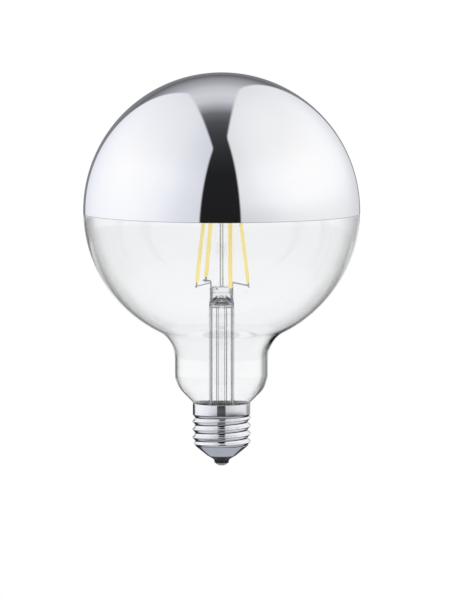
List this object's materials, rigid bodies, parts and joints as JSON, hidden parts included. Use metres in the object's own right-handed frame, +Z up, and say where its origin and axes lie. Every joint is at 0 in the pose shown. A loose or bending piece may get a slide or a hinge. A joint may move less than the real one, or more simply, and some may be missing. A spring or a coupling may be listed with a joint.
{
  "type": "led globe bulb",
  "caption": "Large round filament lamp with a silvered upper half, clear lower half, glass stem with slim yellow filaments and a screw cap.",
  "frame": {"origin": "lowest point of the centre contact, on the lamp's axis", "axes": "+Z up the lamp's axis from the contact to the top of the globe; -Y faces the viewer of the picture"},
  "size_m": [0.125, 0.125, 0.178],
  "materials": {
    "clear_glass": "clear blown glass, smooth",
    "mirror_silver": "bright silvered skin, lacquered",
    "stem_glass": "clear drawn glass with faint draw lines",
    "phosphor": "pale yellow phosphor in silicone, faintly translucent",
    "filament_metal": "plain plated strip",
    "nickel_wire": "drawn nickel wire",
    "copper_wire": "drawn copper wire",
    "cap_nickel": "bright nickel plate with faint rolling marks",
    "cement": "baked basing cement, pale and grainy, burnt dark in patches",
    "black_insulator": "black moulded insulator, satin",
    "tinned_contact": "tinned contact and solder",
    "circuit_board": "glass-fibre board with white mask",
    "capacitor_can": "bare aluminium can",
    "ferrite": "sintered ferrite with wound wire",
    "package_black": "moulded epoxy package",
    "resistor_coat": "lacquered resistor body"
  },
  "bodies": {
    "root": {"glass_globe": "clear_glass", "mirror_coating": "mirror_silver", "stem_glass": "stem_glass", "exhaust_tube": "stem_glass", "support_rod": "stem_glass", "upper_wire_low": "nickel_wire", "upper_wire_high": "nickel_wire", "post_wire_left": "nickel_wire", "post_wire_right": "nickel_wire", "branch_wire_left": "nickel_wire", "branch_wire_right": "nickel_wire", "lead_in_wire_left": "nickel_wire", "lead_in_wire_right": "nickel_wire", "cap_shell": "cap_nickel", "basing_cement": "cement", "cap_insulator": "black_insulator", "centre_contact": "tinned_contact", "contact_solder": "tinned_contact", "driver_board": "circuit_board", "smoothing_capacitor": "capacitor_can", "storage_inductor": "ferrite", "bridge_rectifier": "package_black", "driver_chip": "package_black", "fusible_resistor": "resistor_coat", "contact_wire": "copper_wire", "resistor_wire": "copper_wire", "shell_wire": "copper_wire", "filament_strip_1": "filament_metal", "filament_coat_1": "phosphor", "filament_strip_2": "filament_metal", "filament_coat_2": "phosphor", "filament_strip_3": "filament_metal", "filament_coat_3": "phosphor", "filament_strip_4": "filament_metal", "filament_coat_4": "phosphor"}
  },
  "joints": []
}
